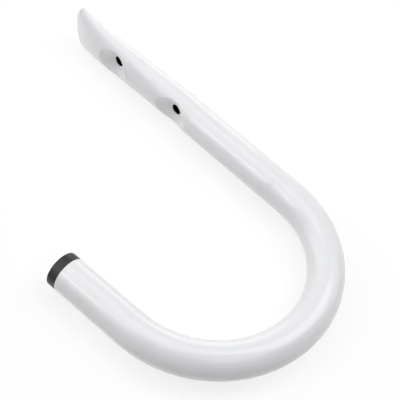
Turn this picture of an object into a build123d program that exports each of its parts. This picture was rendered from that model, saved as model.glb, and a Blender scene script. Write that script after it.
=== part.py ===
# Garage wall hook: a steel tube bent into a J, with a plastic end cap.
# Units are millimetres. X points out from the wall and Z up along the shank.
# The origin is midway between the two screw holes, on the plane where the
# screw heads bear.
import os
from math import cos, isclose, pi, radians, sin, tan

from build123d import *

# Tube
tube_diameter = 20.0
wall = 1.5
bend_radius = 60.0  # centreline of the tube
bend_angle = 176.0
shank_length = 178.0  # start of the bend to the crest of the pinched end
leg_length = 44.0  # end of the bend to the cap

# Screw holes, each at the bottom of a dimple in the front of the shank
hole_diameter = 6.6
hole_edge_round = 0.3
cut_edge_land = 0.5  # below this the cut edge leans back, drawn in with the dimple
cut_edge_lean = 45.0
hole_spacing = 50.0
lower_hole_height = 87.0  # above the start of the bend
seat_height = 3.5  # seat plane in front of the tube's axis
seat_diameter = 8.4
dimple_angle = 38.0  # slope of the dimple's side
dimple_floor_round = 1.0
dimple_lip_round = 0.3  # on the bore side of the wall
punch_top = 15.0  # clear of the tube's front

# Pressing of the upper shank: the back is flattened from just below the
# lower hole upwards, and the front comes down to meet it at the end
back_press_start = 80.0
back_press_power = 1.6
front_press_start = 142.0
front_press_power = 2.3
front_sink = 0.85  # the front sinks this much round the screw holes
front_sink_start = 66.0
front_sink_length = 24.0
pinch_line_depth = 0.3  # the closed seam lies this far behind the axis
seam_gap = 0.1
closed_fullness = 0.78
early_widening = 0.6  # the sides spread before the faces have closed
press_step = 6.0

# Sheared end of the pinched tip
end_arc_radius = 25.0
end_corner_radius = 4.0
end_side_clearance = 0.3
end_skew = 1.8
end_edge_round = 0.5
shear_depth = 14.0  # reach of the shear down the sides
seal_length = 3.0  # walls pressed solid behind the end
end_overrun = 1.0  # of the pressing past the end

# Cap
cap_head_length = 5.7
cap_edge_round = 0.6
cap_fit = 0.1  # clearance of the ribs in the tube
cap_stem_length = 14.0
cap_stem_wall = 1.2
cap_rib_count = 4
cap_rib_width = 1.0
cap_rib_height = 0.7
cap_lead = 0.5

# Worked out
tube_radius = tube_diameter / 2
bore_radius = tube_radius - wall
hole_radius = hole_diameter / 2
hole_heights = [lower_hole_height, lower_hole_height + hole_spacing]
hole_middle = sum(hole_heights) / 2
round_top = front_sink_start - press_step
pinch_height = shank_length + end_overrun
round_fullness = 4 / 3 * (2**0.5 - 1)  # handle of a Bezier quarter circle
closed_half_width = pi / 2 * (tube_radius - wall / 2) + wall / 2
bend_axis = Axis((bend_radius, 0, 0), (0, -1, 0))
leg_direction = Vector(sin(radians(bend_angle)), 0, -cos(radians(bend_angle)))
bend_end = Vector(
    bend_radius - bend_radius * cos(radians(bend_angle)),
    0,
    -bend_radius * sin(radians(bend_angle)),
)
cap_seat = Plane(bend_end + leg_direction * leg_length, x_dir=(0, 1, 0), z_dir=leg_direction)


def ramp(height, start, end):
    """0 below the start, 1 above the end, straight between them."""
    return min(max((height - start) / (end - start), 0.0), 1.0)


def ease(share):
    return share * share * (3 - 2 * share)


def pressed_section(height, radius, closed_half):
    """Cross-section of one skin of the shank, seen along the tube."""
    sunk = radius - front_sink * ease(
        ramp(height, front_sink_start, front_sink_start + front_sink_length)
    )
    front_press = ramp(height, front_press_start, pinch_height) ** front_press_power
    back_press = ramp(height, back_press_start, pinch_height) ** back_press_power
    front = sunk - front_press * (sunk + pinch_line_depth - closed_half)
    back = radius - back_press * (radius - pinch_line_depth - closed_half)
    middle = (front - back) / 2
    half_depth = (front + back) / 2

    # The section widens as it closes, so that its girth stays the same.
    closing = (radius - half_depth) / (radius - closed_half)
    closed_width = closed_half_width - (tube_radius - radius)
    spread = closing * (1 + early_widening * (1 - closing))
    half_width = radius + (closed_width - radius) * spread
    fullness = round_fullness + (closed_fullness - round_fullness) * closing**2

    quarters = []
    for side in (1, -1):
        for crown in (front, -back):
            quarters.append(
                Bezier(
                    (crown, 0, height),
                    (crown, side * fullness * half_width, height),
                    (middle + fullness * (crown - middle), side * half_width, height),
                    (middle, side * half_width, height),
                )
            )
    return make_face(quarters)


def shear_tool(set_back):
    """What the press cuts away round the end of the tip, less a set-back."""
    half = closed_half_width + end_side_clearance
    shoulder = end_arc_radius - (end_arc_radius**2 - half**2) ** 0.5
    sides = Polyline(
        (half, -shoulder), (half, -shear_depth), (-half, -shear_depth), (-half, -shoulder)
    )
    crest = ThreePointArc((-half, -shoulder), (0, 0), (half, -shoulder))
    tip = make_face(sides + crest)
    tip = fillet(tip.vertices().group_by(Axis.Y)[-1], end_corner_radius)
    blank = Rectangle(2 * tube_diameter, 2 * shear_depth)
    end = Plane((0, 0, shank_length - set_back), x_dir=(0, 1, 0), z_dir=(1, 0, 0))
    cut = end * Rot(0, 0, end_skew) * (blank - tip)
    return extrude(cut, amount=tube_diameter, both=True)


def bent_skin(radius, closed_half, set_back, edge_round):
    """Everything inside one skin of the tube, from the cap's seat to the tip."""
    steps = round((pinch_height - round_top) / press_step)
    rise = (pinch_height - round_top) / steps
    sections = [
        pressed_section(round_top + step * rise, radius, closed_half)
        for step in range(steps + 1)
    ]
    pressed = loft(sections) - shear_tool(set_back)
    if edge_round > 0:
        sheared = pressed.faces().filter_by(GeomType.CYLINDER)
        rims = [face.edges().filter_by(GeomType.BSPLINE) for face in sheared]
        pressed = fillet([edge for rim in rims for edge in rim], edge_round)
    straight = extrude(sections[0], amount=round_top, dir=(0, 0, -1))
    bend_start = Pos(0, 0, -round_top) * sections[0]
    bend = revolve(bend_start, bend_axis, bend_angle)
    leg_start = bend_start.rotate(bend_axis, bend_angle)
    leg = extrude(leg_start, amount=leg_length, dir=leg_direction)
    return pressed + straight + bend + leg


def dimple_tool(height, grow):
    """Punch that presses a screw dimple, grown by the wall for the bore."""
    slope = radians(dimple_angle)
    floor = seat_height - grow
    floor_radius = seat_diameter / 2 + grow * tan(slope / 2)
    top_radius = floor_radius + (punch_top - floor) / tan(slope)
    outline = Polyline(
        (0, floor), (floor_radius, floor), (top_radius, punch_top), (0, punch_top), close=True
    )
    profile = make_face(outline)
    corner = profile.vertices().sort_by_distance((floor_radius, floor))[0]
    profile = fillet(corner, dimple_floor_round + grow)
    middle = Plane((0, 0, height), x_dir=(0, 1, 0), z_dir=(0, 0, -1))
    return revolve(middle * profile, Axis((0, 0, height), (1, 0, 0)), 360)


def press_dimple(skin, height, grow, lip_round):
    """Press one dimple into a skin and round its lip."""
    pressed = skin - dimple_tool(height, grow)
    cones = pressed.faces().filter_by(GeomType.CONE)
    side = cones.sort_by_distance((seat_height, 0, height))[0]
    lip = [edge for edge in side.edges() if edge.geom_type == GeomType.BSPLINE]
    return fillet(lip, lip_round)


def hole_tool(height):
    """Straight hole through both walls, widened behind the land of the front one."""
    drill = Plane((0, 0, height), x_dir=(0, 1, 0), z_dir=(1, 0, 0))
    reach = 2 * wall
    leaning = Cone(
        hole_radius + reach * tan(radians(cut_edge_lean)),
        hole_radius,
        reach,
        align=(Align.CENTER, Align.CENTER, Align.MAX),
    )
    straight = Cylinder(hole_radius, 2 * tube_diameter)
    return drill * (straight + Pos(0, 0, seat_height - cut_edge_land) * leaning)


def make_hook_tube():
    outer = bent_skin(tube_radius, wall + seam_gap / 2, 0, end_edge_round)
    bore = bent_skin(bore_radius, seam_gap / 2, seal_length, 0)
    for height in hole_heights:
        outer = press_dimple(outer, height, 0, dimple_lip_round + wall)
        bore = press_dimple(bore, height, wall, dimple_lip_round)
    tube = outer - bore
    for height in hole_heights:
        tube -= hole_tool(height)
    rings = tube.edges().filter_by(GeomType.CIRCLE)
    mouths = [ring for ring in rings if isclose(ring.radius, hole_radius)]
    front_mouths = [ring for ring in mouths if isclose(ring.center().X, seat_height)]
    return fillet(front_mouths, hole_edge_round)


def make_end_cap():
    head = Pos(0, 0, cap_head_length / 2) * Cylinder(tube_radius, cap_head_length)
    head = fillet(head.edges().group_by(Axis.Z)[-1], cap_edge_round)
    rib_radius = bore_radius - cap_fit
    stem_radius = rib_radius - cap_rib_height
    stem = Pos(0, 0, -cap_stem_length / 2) * Cylinder(stem_radius, cap_stem_length)
    stem = chamfer(stem.edges().group_by(Axis.Z)[0], cap_lead)
    pitch = cap_stem_length / (cap_rib_count + 1)
    for rib in range(cap_rib_count):
        ring = Cylinder(rib_radius, cap_rib_width)
        stem += Pos(0, 0, -(rib + 1) * pitch) * ring
    hollow = Cylinder(stem_radius - cap_stem_wall, cap_stem_length)
    stem -= Pos(0, 0, -cap_stem_length / 2) * hollow
    return cap_seat * (head + stem)


os.makedirs("parts", exist_ok=True)
to_row_frame = Pos(-seat_height, 0, -hole_middle)
export_step(to_row_frame * make_hook_tube(), "parts/hook_tube.step")
export_step(to_row_frame * make_end_cap(), "parts/end_cap.step")
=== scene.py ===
# Garage wall hook: white painted steel tube with a black plastic cap.
# Metres, in the part's own frame: X out from the wall, Z up the shank.
# The hook lies on its side on a white sheet, so the floor stands square to Y.
import bpy
import bmesh
from math import radians
from mathutils import Matrix, Vector


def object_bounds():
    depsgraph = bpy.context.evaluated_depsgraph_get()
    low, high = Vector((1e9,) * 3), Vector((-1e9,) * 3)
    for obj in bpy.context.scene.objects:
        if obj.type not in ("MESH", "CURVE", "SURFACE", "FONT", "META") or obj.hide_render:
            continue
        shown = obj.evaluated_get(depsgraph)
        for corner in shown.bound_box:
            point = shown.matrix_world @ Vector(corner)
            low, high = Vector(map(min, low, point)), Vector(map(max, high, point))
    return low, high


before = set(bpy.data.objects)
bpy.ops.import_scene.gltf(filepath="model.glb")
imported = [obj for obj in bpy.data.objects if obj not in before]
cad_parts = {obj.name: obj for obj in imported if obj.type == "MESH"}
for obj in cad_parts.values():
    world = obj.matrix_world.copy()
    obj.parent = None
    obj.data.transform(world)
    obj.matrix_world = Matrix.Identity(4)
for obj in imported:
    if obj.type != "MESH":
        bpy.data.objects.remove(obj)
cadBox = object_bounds()
print("stage 1: packed part loaded")


def newMaterial(name):
    material = bpy.data.materials.new(name)
    material.use_nodes = True
    nodes = material.node_tree.nodes
    nodes.clear()
    return material, nodes, material.node_tree.links


def noiseNode(nodes, links, place, scale, detail):
    noise = nodes.new("ShaderNodeTexNoise")
    noise.inputs["Scale"].default_value = scale
    noise.inputs["Detail"].default_value = detail
    links.new(place, noise.inputs["Vector"])
    return noise.outputs["Fac"]


def rangeNode(nodes, links, value, low, high, outLow, outHigh):
    spread = nodes.new("ShaderNodeMapRange")
    spread.inputs["From Min"].default_value = low
    spread.inputs["From Max"].default_value = high
    spread.inputs["To Min"].default_value = outLow
    spread.inputs["To Max"].default_value = outHigh
    links.new(value, spread.inputs["Value"])
    return spread.outputs["Result"]


# the second value is a number or a socket
def mathNode(nodes, links, how, first, second):
    sums = nodes.new("ShaderNodeMath")
    sums.operation = how
    links.new(first, sums.inputs[0])
    if isinstance(second, (int, float)):
        sums.inputs[1].default_value = second
    else:
        links.new(second, sums.inputs[1])
    return sums.outputs[0]


def mixColours(nodes, links, share, first, second):
    mix = nodes.new("ShaderNodeMix")
    mix.data_type = "RGBA"
    links.new(share, mix.inputs["Factor"])
    for name, colour in (("A", first), ("B", second)):
        if isinstance(colour, tuple):
            mix.inputs[name].default_value = colour
        else:
            links.new(colour, mix.inputs[name])
    return mix.outputs["Result"]


def bumpNode(nodes, links, height, strength, depth):
    bump = nodes.new("ShaderNodeBump")
    bump.inputs["Strength"].default_value = strength
    bump.inputs["Distance"].default_value = depth
    links.new(height, bump.inputs["Height"])
    return bump


def outputNode(nodes, links, surface, kind="ShaderNodeOutputMaterial"):
    links.new(surface, nodes.new(kind).inputs["Surface"])


# 1 for rays that show the white of the sheet or the world, 0 for the light it gives
def seenNode(nodes, links):
    path = nodes.new("ShaderNodeLightPath").outputs
    seen = path["Is Camera Ray"]
    for kind in ("Is Glossy Ray", "Is Transmission Ray"):
        seen = mathNode(nodes, links, "MAXIMUM", seen, path[kind])
    return seen


# white powder coat on the tube
whitePaint = {
    "colour": (0.875, 0.882, 0.9, 1),
    "shadeColour": (0.86, 0.867, 0.886, 1),
    "cloudScale": 45,      # slow change of tone and gloss
    "cloudDetail": 1,
    "cloudSpan": (0.2, 0.8),
    "rough": (0.28, 0.36),
    "coat": 0.6,
    "coatRough": 0.06,
    "peelScale": 900,      # orange peel, about a millimetre across
    "peelDetail": 1,
    "peelStrength": 0.3,
    "peelDepth": 0.000014,
    "dieMark": (0.005, 0.0052, -0.106),  # where the bending die pressed the shank
    "dieMarkReach": 0.010,
    "dieMarkStrength": 1,
    "dieMarkDepth": 0.0005,
    "steelAndShadeColour": (0.025, 0.024, 0.023, 1),  # oiled steel inside, past the paint, with painted shade that makes it near black
    "axisX": -0.0035,      # of the shank
    "steelAndShadeBelowX": -0.001,  # just under the screw seats
    "steelAndShadeZ": (-0.055, 0.05),
    "steelAndShadeFacing": 0.0002,  # under it a face looks at the axis
}


# 1 on the steel inside the shank near the screw holes, where faces look at its axis; there
# the colour holds painted shade of the bore
def insideBore(nodes, links, place, look):
    spot = nodes.new("ShaderNodeSeparateXYZ")
    links.new(place, spot.inputs[0])
    fromAxis = nodes.new("ShaderNodeVectorMath")
    fromAxis.operation = "MULTIPLY_ADD"
    fromAxis.inputs[1].default_value = (1, 1, 0)
    fromAxis.inputs[2].default_value = (-look["axisX"], 0, 0)
    links.new(place, fromAxis.inputs[0])
    facing = nodes.new("ShaderNodeVectorMath")
    facing.operation = "DOT_PRODUCT"
    links.new(fromAxis.outputs[0], facing.inputs[0])
    links.new(nodes.new("ShaderNodeNewGeometry").outputs["Normal"], facing.inputs[1])
    low, high = look["steelAndShadeZ"]
    inside = mathNode(nodes, links, "LESS_THAN", facing.outputs["Value"], look["steelAndShadeFacing"])
    for how, value, limit in (
        ("LESS_THAN", spot.outputs["X"], look["steelAndShadeBelowX"]),
        ("GREATER_THAN", spot.outputs["Z"], low),
        ("LESS_THAN", spot.outputs["Z"], high),
    ):
        passed = mathNode(nodes, links, how, value, limit)
        inside = mathNode(nodes, links, "MULTIPLY", inside, passed)
    return inside


def dieMarkNode(nodes, links, place, look):
    away = nodes.new("ShaderNodeVectorMath")
    away.operation = "DISTANCE"
    away.inputs[1].default_value = look["dieMark"]
    links.new(place, away.inputs[0])
    dent = nodes.new("ShaderNodeMapRange")
    dent.interpolation_type = "SMOOTHERSTEP"
    dent.inputs["From Max"].default_value = look["dieMarkReach"]
    links.new(away.outputs["Value"], dent.inputs["Value"])
    height = dent.outputs["Result"]
    pressed = bumpNode(nodes, links, height, look["dieMarkStrength"], look["dieMarkDepth"])
    return pressed.outputs["Normal"]


def makeWhitePaint(look):
    material, nodes, links = newMaterial("whitePaint")
    place = nodes.new("ShaderNodeTexCoord").outputs["Object"]
    shader = nodes.new("ShaderNodeBsdfPrincipled")
    shader.inputs["Coat Weight"].default_value = look["coat"]
    shader.inputs["Coat Roughness"].default_value = look["coatRough"]
    cloud = noiseNode(nodes, links, place, look["cloudScale"], look["cloudDetail"])
    shade = rangeNode(nodes, links, cloud, *look["cloudSpan"], 0, 1)
    paint = mixColours(nodes, links, shade, look["colour"], look["shadeColour"])
    inside = insideBore(nodes, links, place, look)
    # steel colour with painted shade inside the bore, near black where the screw holes look
    # in
    colour = mixColours(nodes, links, inside, paint, look["steelAndShadeColour"])
    links.new(colour, shader.inputs["Base Color"])
    rough = rangeNode(nodes, links, cloud, *look["cloudSpan"], *look["rough"])
    links.new(rough, shader.inputs["Roughness"])
    peel = noiseNode(nodes, links, place, look["peelScale"], look["peelDetail"])
    bump = bumpNode(nodes, links, peel, look["peelStrength"], look["peelDepth"])
    links.new(dieMarkNode(nodes, links, place, look), bump.inputs["Normal"])
    for layer in ("Normal", "Coat Normal"):
        links.new(bump.outputs["Normal"], shader.inputs[layer])
    outputNode(nodes, links, shader.outputs["BSDF"])
    return material


# black plastic of the cap
blackPlastic = {
    "colour": (0.011, 0.011, 0.012, 1),
    "dustColour": (0.03, 0.03, 0.032, 1),
    "cloudScale": 220,     # dust and handling
    "cloudDetail": 4,
    "dustSpan": (0.4, 0.8),
    "roughSpan": (0.3, 0.7),
    "rough": (0.28, 0.4),
    "shine": 0.3,
    "grainScale": 1600,    # moulded grain
    "grainDetail": 2,
    "grainStrength": 0.5,
    "grainDepth": 0.00003,
}


def makeBlackPlastic(look):
    material, nodes, links = newMaterial("blackPlastic")
    place = nodes.new("ShaderNodeTexCoord").outputs["Object"]
    shader = nodes.new("ShaderNodeBsdfPrincipled")
    shader.inputs["Specular IOR Level"].default_value = look["shine"]
    cloud = noiseNode(nodes, links, place, look["cloudScale"], look["cloudDetail"])
    dust = rangeNode(nodes, links, cloud, *look["dustSpan"], 0, 1)
    colour = mixColours(nodes, links, dust, look["colour"], look["dustColour"])
    links.new(colour, shader.inputs["Base Color"])
    rough = rangeNode(nodes, links, cloud, *look["roughSpan"], *look["rough"])
    links.new(rough, shader.inputs["Roughness"])
    grain = noiseNode(nodes, links, place, look["grainScale"], look["grainDetail"])
    bump = bumpNode(nodes, links, grain, look["grainStrength"], look["grainDepth"])
    links.new(bump.outputs["Normal"], shader.inputs["Normal"])
    outputNode(nodes, links, shader.outputs["BSDF"])
    return material


def dress(node, material):
    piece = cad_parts[node]
    piece.data.materials.clear()
    piece.data.materials.append(material)


dress("hook_tube", makeWhitePaint(whitePaint))
dress("end_cap", makeBlackPlastic(blackPlastic))
print("stage 2: paint and plastic on")

# white sheet that the hook lies on
sheet = {
    "gap": 0.0002,      # under the wide tip of the hook
    "size": 3.0,
    "middleZ": -0.05,
    "colour": (0.9, 0.9, 0.9, 1),
    "seenColour": (0.27, 0.27, 0.27, 1),  # to the camera and in reflections
    "seenGlow": 0.76,
}


def makeFloor(look):
    mesh = bpy.data.meshes.new("floor")
    floor = bpy.data.objects.new("floor", mesh)
    bpy.context.scene.collection.objects.link(floor)
    shape = bmesh.new()
    bmesh.ops.create_grid(shape, x_segments=1, y_segments=1, size=look["size"] / 2)
    turn = Matrix.Rotation(radians(-90), 4, "X")  # face along Y
    low = Vector((0, cadBox[0][1] - look["gap"], look["middleZ"]))
    bmesh.ops.transform(shape, matrix=Matrix.Translation(low) @ turn, verts=shape.verts)
    shape.to_mesh(mesh)
    shape.free()

    material, nodes, links = newMaterial("whiteSheet")
    seen = seenNode(nodes, links)
    paper = nodes.new("ShaderNodeBsdfDiffuse")
    shade = mixColours(nodes, links, seen, look["colour"], look["seenColour"])
    links.new(shade, paper.inputs["Color"])
    glow = nodes.new("ShaderNodeEmission")
    strength = rangeNode(nodes, links, seen, 0, 1, 0, look["seenGlow"])
    links.new(strength, glow.inputs["Strength"])
    both = nodes.new("ShaderNodeAddShader")
    links.new(paper.outputs[0], both.inputs[0])
    links.new(glow.outputs[0], both.inputs[1])
    oneSided = nodes.new("ShaderNodeMixShader")  # see-through from below
    behind = nodes.new("ShaderNodeNewGeometry").outputs["Backfacing"]
    links.new(behind, oneSided.inputs["Fac"])
    links.new(both.outputs[0], oneSided.inputs[1])
    links.new(nodes.new("ShaderNodeBsdfTransparent").outputs[0], oneSided.inputs[2])
    outputNode(nodes, links, oneSided.outputs[0])
    mesh.materials.append(material)


makeFloor(sheet)

# white surroundings that light the hook only a little
worldLook = {
    "colour": (1, 1, 1, 1),
    "light": 0.05,
    "seenGlow": 1.0,    # to the camera and in reflections
}


def makeWorld(look):
    world = bpy.data.worlds.new("studio")
    bpy.context.scene.world = world
    world.use_nodes = True
    nodes, links = world.node_tree.nodes, world.node_tree.links
    nodes.clear()
    seen = seenNode(nodes, links)
    sky = nodes.new("ShaderNodeBackground")
    sky.inputs["Color"].default_value = look["colour"]
    strength = rangeNode(nodes, links, seen, 0, 1, look["light"], look["seenGlow"])
    links.new(strength, sky.inputs["Strength"])
    outputNode(nodes, links, sky.outputs[0], "ShaderNodeOutputWorld")


makeWorld(worldLook)

# lamps round the hook, all turned to a point between its shank and its bend
lampAim = (0.055, 0, -0.05)
# each lamp: direction from there, distance, width, height along Z, power
lamps = {
    "key": ((-0.45, 0.83, -0.33), 1.2, 0.8, 0.8, 5.2),
    "top": ((0, 1, 0.25), 1.4, 1.1, 1.1, 5.85),
    "topFront": ((0.15, 0.85, -0.5), 1.3, 0.6, 0.5, 1.4),
    "rear": ((-0.75, 0.2, 0.6), 1.2, 0.8, 0.8, 2.6),
    "backHigh": ((0.1, 0.6, 0.8), 1.3, 0.9, 0.5, 1.5),
    "backLow": ((0.3, 0.25, 0.9), 1.3, 0.9, 0.4, 2.05),
    "ridge": ((0.67, 0.64, 0.36), 1.2, 0.1, 0.28, 0.93),
    "strip": ((0.54, 0.73, 0.33), 1.2, 0.14, 0.4, 0.6),
    "fill": ((0.43, 0.79, 0.3), 1.2, 0.4, 0.5, 0.65),
    "side": ((0.8, 0.44, 0.34), 1.2, 0.3, 0.35, 0.65),
    "leftFront": ((-0.8, 0.4, -0.45), 1.2, 0.6, 0.6, 0.93),
}


def makeLamps(rig, aim):
    for name, (direction, distance, width, height, power) in rig.items():
        light = bpy.data.lights.new(name, "AREA")
        light.shape = "RECTANGLE"
        light.size, light.size_y = width, height
        light.energy = power
        lamp = bpy.data.objects.new(name, light)
        bpy.context.scene.collection.objects.link(lamp)
        back = Vector(direction).normalized()
        side = Vector((0, 0, 1)).cross(back).normalized()
        turn = Matrix((side, back.cross(side), back)).transposed().to_4x4()
        lamp.matrix_world = Matrix.Translation(Vector(aim) + back * distance) @ turn


makeLamps(lamps, lampAim)
print("stage 3: floor, world and lamps up")

# camera, above the sheet and to the front of the short leg
cameraLook = {
    "place": (0.28918, 0.42202, -0.28288),
    "target": (0.03248, -0.00449, -0.07907),
    "roll": -9.2,
    "lens": 88.4,
    "sensor": 36,
}


def makeCamera(look):
    lens = bpy.data.cameras.new("camera")
    lens.lens = look["lens"]
    lens.sensor_width = look["sensor"]
    camera = bpy.data.objects.new("camera", lens)
    bpy.context.scene.collection.objects.link(camera)
    place, target = Vector(look["place"]), Vector(look["target"])
    forward = (target - place).normalized()
    right = forward.cross(Vector((0, 1, 0))).normalized()
    above = right.cross(forward)
    pose = Matrix((right, above, -forward)).transposed().to_4x4()
    pose = Matrix.Rotation(radians(look["roll"]), 4, forward) @ pose
    camera.matrix_world = Matrix.Translation(place) @ pose
    bpy.context.scene.camera = camera


makeCamera(cameraLook)
bpy.context.scene.view_settings.view_transform = "Standard"
print("stage 4: camera set")
